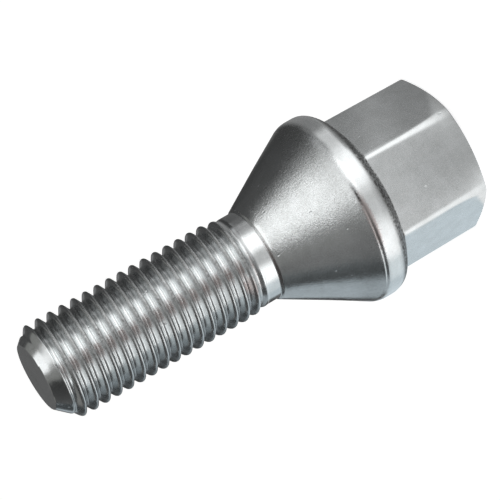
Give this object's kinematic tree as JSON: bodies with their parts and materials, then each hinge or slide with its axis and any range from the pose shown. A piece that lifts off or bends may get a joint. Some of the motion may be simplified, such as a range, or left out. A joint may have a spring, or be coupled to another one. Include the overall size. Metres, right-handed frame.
{
  "type": "wheel bolt",
  "caption": "One-piece steel wheel bolt with a hexagon head, a rounded rim, a conical seat, a short plain shank and a rolled thread with a chamfered tip.",
  "frame": {"origin": "centre of the flat end face of the hexagon, which the bolt stands on", "axes": "+Z along the bolt's axis, from the head to the threaded tip; two of the hexagon's flats face +X and -X"},
  "size_m": [0.0229, 0.0228, 0.0543],
  "materials": {
    "zinc_plated_steel": "bright zinc plate, satin on the cone"
  },
  "bodies": {
    "root": {"wheel_bolt": "zinc_plated_steel"}
  },
  "joints": []
}
